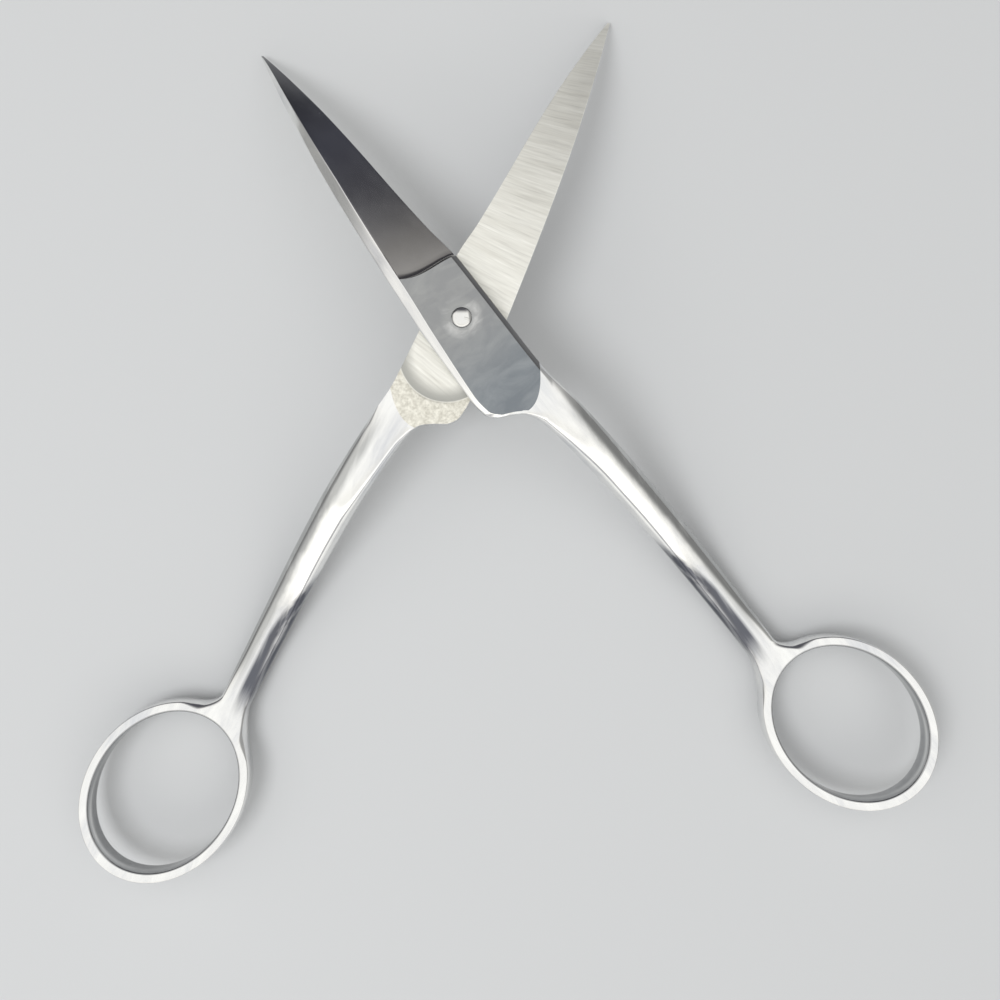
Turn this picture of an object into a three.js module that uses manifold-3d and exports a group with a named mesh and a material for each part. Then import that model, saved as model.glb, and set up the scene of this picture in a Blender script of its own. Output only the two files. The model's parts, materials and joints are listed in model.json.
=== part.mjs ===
// Double-curved embroidery scissors, open, lying on a table with the screw's slotted head underneath.
// Millimetres, +Z up. The blades bend down to their points and the shanks down to the finger rings.
// Each half is one forging, drawn in its own frame: u runs from the pivot to the point, v from the
// spine to the cutting edge, and heights are counted from the surface on which the halves ride.
import * as THREE from 'three';
import { mergeVertices } from 'three/addons/utils/BufferGeometryUtils.js';
import Module from 'manifold-3d';

const wasm = await Module();
wasm.setup();

// How the halves lie
const upperHeading = 126.9; // degrees from +X to the upper blade's point
const openAngle = 60.7; // degrees between the blades
const pivotHeight = 17.1; // of the riding plane over the table
const rideGap = 0.2; // between the two inner faces

// Blade
const bladeLength = 54.2; // pivot to point, seen from above
const bladeWidth = 10.25; // at its root
const pointWidth = 0.4;
const flatRadius = 7; // flat round the pivot, where the bend starts
const tipThickness = 0.7;
const ridgeThickness = 2.15; // of the blade at its thick end
const edgeThickness = 0.12;
const spineBevelWidth = 1.5;
const spineBevelRun = 27; // from the point to where the spine bevel has its full width
const spineBevelSlope = 0.6;
const hollowDepth = 0.14; // of the ground inner face
const hollowFade = 12; // before the point, where that grinding starts to run out
const hollowEnd = 5.4; // behind the pivot, the middle of the round end of that grinding
const hollowEndRadius = 6.9;
const hollowRunout = 0.4;

// Pivot plate
const plateWidth = 10.8;
const plateShift = 0.5; // of its middle line from the pivot, towards the spine
const plateThickness = 2.2;
const stepReach = 8.1; // pivot to the step where blade and plate meet
const stepFillet = 1;
const plateChamfer = 0.75; // along the side of the cutting edge
const heelBevelWidth = 0.7; // of the spine bevel where the plate ends
const heelInset = 1; // from the end of the plate's flat face to the shoulder

// Shank
const shoulderRadius = 17.3; // what the other half's heel clears
const shankShift = 3.35; // of its middle line from the pivot at the shoulder, away from the spine
const shankWidth = 5.8;
const shankBow = 1.95; // 1 is a straight middle line, and more bends it more behind the shoulder
const shankThickness = 4.4;
const shankSwell = 16; // how far behind the shoulder it has its full thickness
const barRunIn = 3; // from the end of a flat face to the full round of the bar
const shankRoundness = 2.3; // 2 is an ellipse, and more is squarer
const shankFlank = 0.16; // share of the thickness that the straight flanks take
const neckWidth = 4.5;
const neckShift = 3.8; // of the neck's middle line from the ring's
const neckLift = 9; // before the ring, where the shank leaves the table
const neckRoundness = 4;

// Finger ring
const ringReach = 83.3; // pivot to the ring's middle, along the half
const ringOffset = 12.35; // and across it
const ringTurn = 9.6; // degrees by which the ring's long way splays outwards
const ringInnerLong = 12.45;
const ringInnerShort = 10.5;
const ringRimLong = 1.85; // radial thickness at the ends of the long way
const ringRimShort = 1.6;
const ringThickness = 4.4;
const ringSquareness = 3;
const ringRise = 0.13; // slope by which it lifts off the table

// Pivot screw
const shaftRadius = 1.7;
const threadStep = 0.28; // by which the threaded end is thinner
const headRadius = 3.1;
const headThickness = 1.5;
const headSink = 0.9; // below the lower plate's face
const headDome = 0.25;
const slotWidth = 0.9;
const slotDepth = 0.6;
const riveted = 0.42; // height of the domed end over the upper plate
const dishRadius = 2.6;
const dishDepth = 0.18;
const screwClearance = 0.12;

// How finely the surfaces are divided
const pointsAcross = 12;
const ringSteps = 52;
const ringSectionPoints = 12;
const roundSegments = 32;

const { hypot, sqrt, sin, cos, abs, sign, min, max, PI } = Math;
const mix = THREE.MathUtils.lerp;
const smooth = THREE.MathUtils.smoothstep;
const turn = THREE.MathUtils.degToRad;

// A smooth curve v(u) through hand-set points that doesn't overshoot between them.
function through(...points) {
  const slope = points.slice(1).map(([u, v], i) => (v - points[i][1]) / (u - points[i][0]));
  const tangent = points.map((_, i) => {
    const [before, after] = [slope[i - 1] ?? slope[i], slope[i] ?? slope[i - 1]];
    return before * after <= 0 ? 0 : (2 * before * after) / (before + after);
  });
  const rising = points[1][0] > points[0][0];
  return (u) => {
    let i = points.findIndex(([at]) => (rising ? at > u : at < u)) - 1;
    if (i === -2) i = points.length - 2;
    i = max(i, 0);
    const [[u0, v0], [u1, v1]] = [points[i], points[i + 1]];
    const t = THREE.MathUtils.clamp((u - u0) / (u1 - u0), 0, 1);
    const pull = tangent[i] * (1 - t) - tangent[i + 1] * t;
    return mix(v0, v1, t * t * (3 - 2 * t)) + (u1 - u0) * t * (1 - t) * pull;
  };
}

// Along a half: shares of the way from the step to the point, and from the shoulder to the ring.
const ringNear = ringReach - ringInnerLong - ringRimLong;
const alongBlade = (share) => mix(stepReach, bladeLength, share);
const alongShank = (share) => -mix(shoulderRadius, ringNear, share);

// The shank's middle line bends from the plate to the ring, while the shank gets narrower.
const shankMiddle = (share) => mix(shankShift, ringOffset - neckShift, 1 - max(1 - share, 0) ** shankBow);
const shankSide = (sign, ...shares) => shares.map((share) => {
  const width = mix(shankWidth, neckWidth, min(share, 1) ** 1.2);
  return [alongShank(share), shankMiddle(share) + (sign * width) / 2];
});

// Plan outline of a half, the same for both: the spine side, and the side of the cutting edge.
const spineSide = through(
  [bladeLength, -0.6 * pointWidth], [alongBlade(0.76), -0.21 * bladeWidth],
  [alongBlade(0.475), -0.385 * bladeWidth], [alongBlade(0.26), -0.473 * bladeWidth],
  [alongBlade(0.02), -0.541 * bladeWidth], [0, -plateWidth / 2 - plateShift],
  [-0.58 * shoulderRadius, -plateWidth / 2 - plateShift],
  [4.3 - shoulderRadius, -plateWidth / 2 - plateShift + 0.4], [2.8 - shoulderRadius, -4.3],
  [1.9 - shoulderRadius, -2.3], [0.7 - shoulderRadius, -0.5],
  [-1.1 - shoulderRadius, shankShift - shankWidth / 2], ...shankSide(-1, 0.2, 0.35, 0.6, 0.8, 0.93, 1.05),
);
const neckEdge = ringOffset - neckShift + neckWidth / 2;
const edgeSide = through(
  [bladeLength, 0.4 * pointWidth], [alongBlade(0.82), 0.107 * bladeWidth],
  [alongBlade(0.65), 0.185 * bladeWidth], [alongBlade(0.475), 0.244 * bladeWidth],
  [alongBlade(0.28), 0.302 * bladeWidth], [alongBlade(0.12), 0.37 * bladeWidth],
  [stepReach, 0.449 * bladeWidth], [0, plateWidth / 2 - plateShift],
  [-0.69 * shoulderRadius, plateWidth / 2 - plateShift + 0.4],
  ...shankSide(1, 0.06, 0.32, 0.59, 0.78, 0.92), [1.8 - ringNear, neckEdge + 0.1],
  [0.8 - ringNear, neckEdge + 0.7], [0.2 - ringNear, neckEdge + 1.8], [-0.3 - ringNear, neckEdge + 3.2],
  [-1.5 - ringNear, neckEdge + 5.2],
);

// The turned form that both inner faces follow: flat, then an arc that brings the points to the table.
const bladeFall = pivotHeight - rideGap / 2 - tipThickness;
const bladeBend = ((bladeLength - flatRadius) ** 2 + bladeFall ** 2) / (2 * bladeFall);
function rideHeight(r) {
  const reach = max(r - flatRadius, 0);
  return pivotHeight - bladeBend + sqrt(bladeBend ** 2 - reach ** 2);
}

// Behind the shoulder, the middle of the shank: down to the table, then up again into the ring.
const neckReach = ringNear - neckLift;
function shankHeight(r) {
  const run = neckReach - shoulderRadius;
  const t = (r - shoulderRadius) / run;
  const reach = shoulderRadius - flatRadius;
  const startSlope = -reach / sqrt(bladeBend ** 2 - reach ** 2);
  const low = shankThickness / 2;
  if (t < 1) {
    return mix(rideHeight(shoulderRadius), low, t * t * (3 - 2 * t)) + run * startSlope * t * (1 - t) ** 2;
  }
  const lift = min(r, ringNear) - neckReach;
  return low + (ringRise * lift ** 2) / (2 * neckLift) + ringRise * max(r - ringNear, 0);
}

function formHeight(u, v) {
  const r = hypot(u, v);
  return u > 0 || r < shoulderRadius ? rideHeight(r) : shankHeight(r);
}

// The step between blade and plate is S-shaped seen from above, with a concave fillet at its foot.
const stepMiddle = 1.4; // across the half, where the S turns over
const stepLine = (v) => stepReach - 0.075 * (v - stepMiddle) - 0.007 * (v - stepMiddle) ** 3;
const fillet = (x) => 1 - sqrt(1 - x ** 2);

// Behind the pivot the rounded bar of the shank comes out of the plate's flat face along a curve.
const plateEnd = (v) => 0.17 * max(v, 0) ** 2 + heelInset - shoulderRadius;

// The near side of the line round the middle of the ring's rim: u for a v.
const splay = turn(ringTurn);
const rimLong = ringInnerLong + ringRimLong / 2;
const rimShort = ringInnerShort + ringRimShort / 2;
function rimMiddle(v) {
  const reach = hypot(rimLong * sin(splay), rimShort * cos(splay));
  const angle = Math.asin(THREE.MathUtils.clamp((v - ringOffset) / reach, -1, 1))
    + Math.atan2(rimLong * sin(splay), rimShort * cos(splay));
  return rimLong * cos(angle) * cos(splay) + rimShort * sin(angle) * sin(splay) - ringReach;
}

function spineBevel(u) {
  const taper = (min(1, (bladeLength - u) / spineBevelRun) || 0) ** 0.55;
  if (u > stepReach) return max(spineBevelWidth * taper, 0.3 * pointWidth);
  return mix(heelBevelWidth, spineBevelWidth, smooth(u, 4 - shoulderRadius, stepReach));
}

const middle = (u) => (spineSide(u) + edgeSide(u)) / 2;
const halfWidth = (u) => (edgeSide(u) - spineSide(u)) / 2;

function bladeOuter(u, v) {
  const along = max(bladeLength - u, 0) / (bladeLength - stepReach);
  const thick = mix(tipThickness, ridgeThickness, min(along, 1) ** 0.8);
  const ridge = spineSide(u) + spineBevel(u);
  if (v < ridge) return thick - (ridge - v) * spineBevelSlope;
  return mix(thick, edgeThickness, (v - ridge) / (edgeSide(u) - ridge));
}

function plateOuter(u, v) {
  const flat = plateThickness + pivotHeight - rideHeight(hypot(u, v));
  const spineCut = max(spineSide(u) + spineBevel(u) - v, 0) * spineBevelSlope;
  const edgeCut = max(v - edgeSide(u) + plateChamfer, 0);
  return flat - spineCut * smooth(u, heelInset - shoulderRadius, 4 - shoulderRadius) - edgeCut;
}

// The bar's section is rounded. It starts within the plate's thickness, and swells past the riding
// surface until the shanks of both halves lie at one height.
const plateAtShoulder = plateThickness + pivotHeight - rideHeight(shoulderRadius);
function bar(u, v) {
  const swell = smooth(-u, shoulderRadius, shoulderRadius + shankSwell);
  const centre = mix(plateAtShoulder / 2, -rideGap / 2, swell);
  const neck = smooth(-u, neckReach, ringNear);
  const half = mix(mix(plateAtShoulder, shankThickness, swell), 0.93 * ringThickness, neck) / 2;
  const roundness = mix(shankRoundness, neckRoundness, neck);
  const q = min(abs(v - middle(u)) / halfWidth(u), 1);
  const section = shankFlank + (1 - shankFlank) * (1 - q ** roundness) ** (1 / roundness);
  return { outer: centre + half * section, inner: centre - half * section };
}

function outerHeight(u, v) {
  const lead = u - stepLine(v);
  if (lead >= stepFillet) return bladeOuter(u, v);
  if (lead > 0) return mix(bladeOuter(u, v), plateOuter(u, v), fillet(1 - lead / stepFillet));
  const past = plateEnd(v) - u;
  if (past <= 0) return plateOuter(u, v);
  if (past >= barRunIn) return bar(u, v).outer;
  return mix(plateOuter(u, v), bar(u, v).outer, (past / barRunIn) ** 0.8);
}

function innerHeight(u, v) {
  const past = hypot(u, v) - shoulderRadius;
  if (u < 0 && past > 0) return bar(u, v).inner * min(past / barRunIn, 1) ** 0.8;
  const x = (v - spineSide(u)) / (edgeSide(u) - spineSide(u));
  const behind = u < -hollowEnd ? hypot(u + hollowEnd, v) - hollowEndRadius : -hollowRunout;
  const ground = (1 - smooth(behind, 0, hollowRunout)) * min(1, (bladeLength - u) / hollowFade);
  return hollowDepth * 4 * x * (1 - x) * ground;
}

// Rows of points across a half, from the point to the neck. Each gives u for a v, and its number of
// rows follows the row before it. The outer face and the inner one have their own rows on the plate.
const straight = (u) => () => u;
const stepRow = (ahead) => (v) => stepLine(v) + ahead * stepFillet;
const plateRow = (ahead) => (v) => plateEnd(v) + ahead;
const hollowRow = (radius) => (v) => -hollowEnd - sqrt(max(radius ** 2 - v ** 2, 0));
const shoulderRow = (behind) => (v) => -sqrt(max((shoulderRadius + behind * barRunIn) ** 2 - v ** 2, 0));
const hollowOuter = hollowRow(hollowEndRadius + hollowRunout);
const heelRow = (share) => (v) => mix(hollowOuter(v), shoulderRow(0)(v), share);
const bladeRows = [
  [1, straight(bladeLength)], [5, straight(alongBlade(0.87))], [11, straight(alongBlade(0.13))],
];
const shankRows = [
  [3, straight(alongShank(0.17))], [13, straight(alongShank(0.87))],
  [4, straight(2.5 - ringNear)], [6, rimMiddle],
];
const outerRows = divided(
  ...bladeRows, [3, stepRow(1)], [1, stepRow(0.55)], [1, stepRow(0.25)], [1, stepRow(0.07)], [1, stepRow(0)],
  [3, plateRow(0.6 * shoulderRadius)], [2, plateRow(3.3)], [1, plateRow(1.8)], [1, plateRow(0.9)],
  ...[0, 0.13, 0.33, 0.5, 0.7, 1, 1.33].map((behind) => [1, plateRow(-behind * barRunIn)]), ...shankRows,
);
const innerRows = divided(
  ...bladeRows, [5, straight(0)], [4, hollowRow(hollowEndRadius)], [1, hollowOuter],
  [2, heelRow(0.45)], ...[0.59, 0.64, 0.79, 0.9].map((share) => [1, heelRow(share)]),
  ...[0, 0.15, 0.35, 0.6, 1].map((behind) => [1, shoulderRow(behind)]), ...shankRows,
);

function divided(...marks) {
  return marks.flatMap(([count, row], mark) => {
    const before = mark ? marks[mark - 1][1] : row;
    return Array.from({ length: count }, (_, i) => (v) => mix(before(v), row(v), (i + 1) / count));
  });
}

// Places across a half at u: on the ridge and the chamfer where it is ground flat, and spread as on
// a round bar along the shank.
function placeAcross(u, j) {
  const last = pointsAcross - 1;
  const [from, to, ridge] = [spineSide(u), edgeSide(u), spineBevel(u)];
  const chamfer = u > stepReach ? (to - from) / last : plateChamfer;
  const flat = j < 2 ? from + (ridge * j) / 2 : mix(from + ridge, to - chamfer, (j - 2) / (last - 3));
  const ground = j === last ? to : flat;
  const round = mix(from, to, (1 - cos((PI * j) / last)) / 2);
  return mix(ground, round, smooth(-u, 0.7 * shoulderRadius, 1.1 * shoulderRadius));
}

// The point of a row and column: u and v depend on each other, so they are found by turns.
function gridPoint(row, j) {
  let u = row(0);
  let v = 0;
  for (let i = 0; i < 40; i++) {
    v = placeAcross(u, j);
    u = mix(u, row(v), 0.6);
  }
  return [u, placeAcross(u, j)];
}

// A closed geometry that faces outwards, from points and quadrilaterals given as corner indices.
// A quadrilateral is divided along its shorter diagonal.
function closed(points, quads) {
  const apart = (a, b) => points[a].distanceToSquared(points[b]);
  const index = quads.flatMap(([a, b, c, d]) => (
    apart(a, c) < apart(b, d) ? [a, b, c, a, c, d] : [b, c, d, b, d, a]
  ));
  let volume = 0;
  for (let i = 0; i < index.length; i += 3) {
    const [a, b, c] = index.slice(i, i + 3).map((k) => points[k]);
    volume += a.dot(new THREE.Vector3().crossVectors(b, c));
  }
  if (volume < 0) index.reverse();
  const geometry = new THREE.BufferGeometry().setFromPoints(points);
  geometry.setIndex(index);
  return geometry;
}

// Two layers of rows sewn along their border, such as the outer and inner face of a half.
function sewn(outer, inner) {
  const [count, across] = [outer.length, outer[0].length];
  const points = [...outer.flat(), ...inner.flat()];
  const at = (layer, i, j) => layer * count * across + i * across + j;
  const last = across - 1;
  const quads = [];
  for (let i = 0; i + 1 < count; i++) {
    for (let j = 0; j + 1 < across; j++) {
      quads.push([at(0, i, j), at(0, i, j + 1), at(0, i + 1, j + 1), at(0, i + 1, j)]);
      quads.push([at(1, i, j), at(1, i + 1, j), at(1, i + 1, j + 1), at(1, i, j + 1)]);
    }
    quads.push([at(0, i, 0), at(0, i + 1, 0), at(1, i + 1, 0), at(1, i, 0)]);
    quads.push([at(0, i, last), at(1, i, last), at(1, i + 1, last), at(0, i + 1, last)]);
  }
  for (let j = 0; j + 1 < across; j++) {
    quads.push([at(0, 0, j), at(1, 0, j), at(1, 0, j + 1), at(0, 0, j + 1)]);
    quads.push([at(0, count - 1, j), at(0, count - 1, j + 1), at(1, count - 1, j + 1), at(1, count - 1, j)]);
  }
  return closed(points, quads);
}

// A closed loop of sections, such as a ring.
function looped(sections) {
  const [count, around] = [sections.length, sections[0].length];
  const at = (i, j) => (i % count) * around + (j % around);
  const quads = [];
  for (let i = 0; i < count; i++) {
    for (let j = 0; j < around; j++) quads.push([at(i, j), at(i, j + 1), at(i + 1, j + 1), at(i + 1, j)]);
  }
  return closed(sections.flat(), quads);
}

function toSolid(geometry) {
  const bare = geometry.clone();
  bare.deleteAttribute('normal');
  bare.deleteAttribute('uv');
  const merged = mergeVertices(bare, 1e-5);
  const vertProperties = new Float32Array(merged.attributes.position.array);
  const triVerts = new Uint32Array(merged.index.array);
  return new wasm.Manifold(new wasm.Mesh({ numProp: 3, vertProperties, triVerts }));
}

function toGeometry(solid) {
  const { vertProperties, triVerts } = solid.getMesh();
  const geometry = new THREE.BufferGeometry();
  geometry.setAttribute('position', new THREE.BufferAttribute(new Float32Array(vertProperties), 3));
  geometry.setIndex(new THREE.BufferAttribute(new Uint32Array(triVerts), 1));
  const faceted = geometry.toNonIndexed();
  faceted.computeVertexNormals();
  return faceted;
}

// A turned solid about the pivot axis, from its profile of radius and height.
function turned(...profile) {
  const points = profile.map(([r, z]) => new THREE.Vector2(r, z));
  const geometry = new THREE.LatheGeometry(points, roundSegments);
  geometry.rotateX(PI / 2);
  return toSolid(geometry);
}

// Blade, plate and shank of a half: one blank between its outer and its inner face.
// side is 1 for the upper half and -1 for the lower one, which is its mirror image.
function blank(side) {
  const layer = (rows, height) => rows.map((row) => Array.from({ length: pointsAcross }, (_, j) => {
    const [u, v] = gridPoint(row, j);
    const z = formHeight(u, v) + side * (height(u, v) + rideGap / 2);
    return new THREE.Vector3(u, -side * v, z);
  }));
  return toSolid(sewn(layer(outerRows, outerHeight), layer(innerRows, innerHeight)));
}

// The finger ring: a squared oval section swept round an ellipse, thickest at the ends of its long way.
function fingerRing(side) {
  const neckHeight = shankHeight(ringNear);
  const sections = [];
  for (let i = 0; i < ringSteps; i++) {
    const angle = (2 * PI * i) / ringSteps;
    const rim = mix(ringRimShort, ringRimLong, cos(angle) ** 2) / 2;
    const along = rimLong * cos(angle);
    const across = rimShort * sin(angle);
    const out = new THREE.Vector2(ringInnerShort * cos(angle), ringInnerLong * sin(angle)).normalize();
    const section = [];
    for (let j = 0; j < ringSectionPoints; j++) {
      const roll = (2 * PI * j) / ringSectionPoints;
      const squared = (c) => sign(c) * abs(c) ** (2 / ringSquareness);
      const a = along + out.x * rim * squared(cos(roll));
      const b = across + out.y * rim * squared(cos(roll));
      const u = -ringReach - a * cos(splay) + b * sin(splay);
      const v = ringOffset + a * sin(splay) + b * cos(splay);
      const lift = neckHeight + ringRise * (-u - ringNear);
      section.push(new THREE.Vector3(u, -side * v, lift + (ringThickness / 2) * squared(sin(roll))));
    }
    sections.push(section);
  }
  return toSolid(looped(sections));
}

const upperFace = pivotHeight + rideGap / 2 + plateThickness;
const lowerFace = pivotHeight - rideGap / 2 - plateThickness;
const threadRadius = shaftRadius - threadStep;
const past = 1; // how far a cut runs out of the face

// The upper half holds the screw's threaded end, whose dome stands in a shallow dish.
function upperHalf() {
  const bore = threadRadius + screwClearance;
  const cut = turned(
    [0, pivotHeight - past], [bore, pivotHeight - past], [bore, upperFace - dishDepth],
    [dishRadius, upperFace], [dishRadius + past, upperFace + past], [0, upperFace + past],
  );
  return blank(1).add(fingerRing(1)).subtract(cut);
}

// The lower half turns on the plain part of the shaft and hides half of the screw's head.
function lowerHalf() {
  const bore = shaftRadius + screwClearance;
  const sink = lowerFace + headSink;
  const seat = headRadius + screwClearance;
  const cut = turned(
    [0, lowerFace - past], [seat, lowerFace - past], [seat, sink],
    [bore, sink], [bore, pivotHeight + past], [0, pivotHeight + past],
  );
  return blank(-1).add(fingerRing(-1)).subtract(cut);
}

function pivotScrew() {
  const shoulder = pivotHeight;
  const underHead = lowerFace + headSink - screwClearance;
  const bottom = underHead - headThickness;
  const rim = bottom + headDome;
  const body = turned(
    [0, bottom], [headRadius * 0.55, bottom + headDome * 0.2], [headRadius - 0.15, rim],
    [headRadius, rim + 0.15], [headRadius, underHead], [shaftRadius, underHead], [shaftRadius, shoulder], [threadRadius, shoulder],
    [threadRadius, upperFace - 0.02], [threadRadius * 0.87, upperFace + riveted * 0.5],
    [threadRadius * 0.5, upperFace + riveted * 0.87], [0, upperFace + riveted],
  );
  const slot = new THREE.BoxGeometry(2 * headRadius + past, slotWidth, 2 * slotDepth);
  slot.translate(0, 0, bottom);
  return body.subtract(toSolid(slot));
}

function piece(name, solid, color, roughness) {
  const material = new THREE.MeshStandardMaterial({ color, roughness, metalness: 1 });
  const mesh = new THREE.Mesh(toGeometry(solid), material);
  mesh.name = name;
  return mesh;
}

const upper = piece('upper_half', upperHalf(), 0xd8dade, 0.16);
const lower = piece('lower_half', lowerHalf(), 0xd4d2cc, 0.24);
const screw = piece('pivot_screw', pivotScrew(), 0xe2e2e0, 0.14);
upper.rotation.z = turn(upperHeading);
lower.rotation.z = turn(upperHeading - openAngle);
screw.rotation.z = turn(upperHeading);

// The origin lies on the table, under the middle of the open scissors.
const pivot = new THREE.Group();
pivot.add(upper, lower, screw);
const box = new THREE.Box3().setFromObject(pivot, true);
const centre = box.getCenter(new THREE.Vector3());
pivot.position.set(-centre.x, -centre.y, -box.min.z);

const group = new THREE.Group();
group.add(pivot);
export default group;
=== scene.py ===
"""Double-curved embroidery scissors on a pale table, seen from straight above."""
import json
import math

import bmesh
import bpy
import numpy as np
from mathutils import Matrix, Vector


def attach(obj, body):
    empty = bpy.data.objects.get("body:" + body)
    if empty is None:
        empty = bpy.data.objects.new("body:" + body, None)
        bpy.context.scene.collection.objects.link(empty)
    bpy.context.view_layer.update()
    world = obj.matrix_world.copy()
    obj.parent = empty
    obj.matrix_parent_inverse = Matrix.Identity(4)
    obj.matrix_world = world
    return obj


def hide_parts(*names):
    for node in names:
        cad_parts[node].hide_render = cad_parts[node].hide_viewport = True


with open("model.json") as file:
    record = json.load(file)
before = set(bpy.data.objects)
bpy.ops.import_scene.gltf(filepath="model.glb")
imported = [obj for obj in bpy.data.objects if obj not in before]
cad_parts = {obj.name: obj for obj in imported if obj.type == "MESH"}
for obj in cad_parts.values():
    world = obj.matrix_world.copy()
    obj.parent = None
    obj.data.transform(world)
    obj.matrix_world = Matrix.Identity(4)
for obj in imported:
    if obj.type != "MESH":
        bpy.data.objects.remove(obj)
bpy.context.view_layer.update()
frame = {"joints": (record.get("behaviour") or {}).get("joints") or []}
MM = 0.001

# Sizes of the halves in millimetres, as in the CAD model
HEADING = {1: 126.9, -1: 126.9 - 60.7}
PIVOT_HEIGHT, RIDE_GAP = 17.1, 0.2
BLADE_LENGTH, BLADE_WIDTH, POINT_WIDTH, FLAT_RADIUS = 54.2, 10.25, 0.4, 7
TIP_THICK, RIDGE_THICK, EDGE_THICK = 0.7, 2.15, 0.12
SPINE_BEVEL, SPINE_BEVEL_RUN, SPINE_SLOPE = 1.5, 27, 0.6
HOLLOW_DEPTH, HOLLOW_FADE, HOLLOW_END, HOLLOW_RADIUS, HOLLOW_RUNOUT = 0.14, 12, 5.4, 6.9, 0.4
PLATE_WIDTH, PLATE_SHIFT, PLATE_THICK, STEP_REACH, STEP_FILLET = 10.8, 0.5, 2.2, 8.1, 1
PLATE_CHAMFER, HEEL_BEVEL, HEEL_INSET, GROUND_REACH = 0.75, 0.7, 1, 17
SHOULDER, SHANK_SHIFT, SHANK_WIDTH, SHANK_BOW, SHANK_THICK = 17.3, 3.35, 5.8, 1.95, 4.4
SHANK_SWELL, BAR_RUN_IN, SHANK_ROUND, SHANK_FLANK = 16, 3, 2.3, 0.16
NECK_WIDTH, NECK_SHIFT, NECK_LIFT, NECK_ROUND = 4.5, 3.8, 9, 4
RING_REACH, RING_OFFSET, RING_TURN = 83.3, 12.35, math.radians(9.6)
RING_LONG, RING_SHORT, RIM_LONG, RIM_SHORT = 12.45, 10.5, 1.85, 1.6
RING_THICK, RING_SQUARE, RING_FLAT, RING_RISE = 4.4, 3, 8, 0.13
SHAFT, THREAD, HEAD, HEAD_THICK, HEAD_SINK = 1.7, 1.42, 3.1, 1.5, 0.9
CROWN, DOME, DOME_SUNK, CLEARANCE = 0.25, 0.48, 0.06, 0.12
SLOT_WIDTH, SLOT_DEPTH, NOTCH_WIDTH, NOTCH_DEPTH = 0.9, 0.6, 0.3, 0.16
DISH, DISH_DEPTH, BORE_CLEARANCE = 2.6, 0.045, 0.05
EDGE_ROUND = 0.09
RING_NEAR = RING_REACH - RING_LONG - RIM_LONG
NECK_REACH = RING_NEAR - NECK_LIFT

# How finely the pieces are divided
ACROSS = 44      # steps across a face
FLANK = 4        # steps down a flank
SIDE = 7         # steps of a face that belong to the side of the neck
RIM = 4 * SIDE + 2 * FLANK  # points round the ring's section, as many as let the neck's loops meet it
RIM_SAMPLES = 4001  # points that these are chosen from
RING_STEPS = 130  # sections of the ring outside the neck
NECK_STEPS = 14  # loops between shank and ring
NECK_LEAD = 0.2  # how far from the ring the neck starts to bend
NECK_FROM, NECK_TO = -29, 16  # degrees of the ring that the neck takes
NECK_BLEND = 4   # sections of the ring on each side that blend into the neck
NECK_CORNER = 2  # sections of the ring beside them, inside the neck, that blend too
ROW_ROUNDS = 40  # rounds that bring a row of points to where its mark crosses the columns
TURN_STEPS = 96  # steps round a turned piece


def mix(a, b, t):
    return a + (b - a) * t


def smooth(x, a, b):
    t = np.clip((x - a) / (b - a), 0, 1)
    return t * t * (3 - 2 * t)


def soft(x, width):
    """x where it is above 0, else 0, with a rounded corner."""
    return 0.5 * (x + np.sqrt(x * x + width * width))


def through(*points):
    """A smooth curve v(u) through the points, without overshoot."""
    p = np.array(sorted(points), float)
    slope = np.diff(p[:, 1]) / np.diff(p[:, 0])
    before, after = np.r_[slope[:1], slope], np.r_[slope, slope[-1:]]
    both = before * after
    tangent = np.where(both > 0, 2 * both / np.where(both > 0, before + after, 1), 0)

    def value(u):
        u = np.asarray(u, float)
        i = np.clip(np.searchsorted(p[:, 0], u) - 1, 0, len(p) - 2)
        run = p[i + 1, 0] - p[i, 0]
        t = np.clip((u - p[i, 0]) / run, 0, 1)
        pull = tangent[i] * (1 - t) - tangent[i + 1] * t
        return mix(p[i, 1], p[i + 1, 1], t * t * (3 - 2 * t)) + run * t * (1 - t) * pull

    return value


def along_blade(share):
    return mix(STEP_REACH, BLADE_LENGTH, share)


def along_shank(share):
    return -mix(SHOULDER, RING_NEAR, share)


def shank_side(sign, *shares):
    rows = []
    for share in shares:
        centre = mix(SHANK_SHIFT, RING_OFFSET - NECK_SHIFT, 1 - max(1 - share, 0) ** SHANK_BOW)
        width = mix(SHANK_WIDTH, NECK_WIDTH, min(share, 1) ** 1.2)
        rows.append((along_shank(share), centre + sign * width / 2))
    return rows


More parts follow.
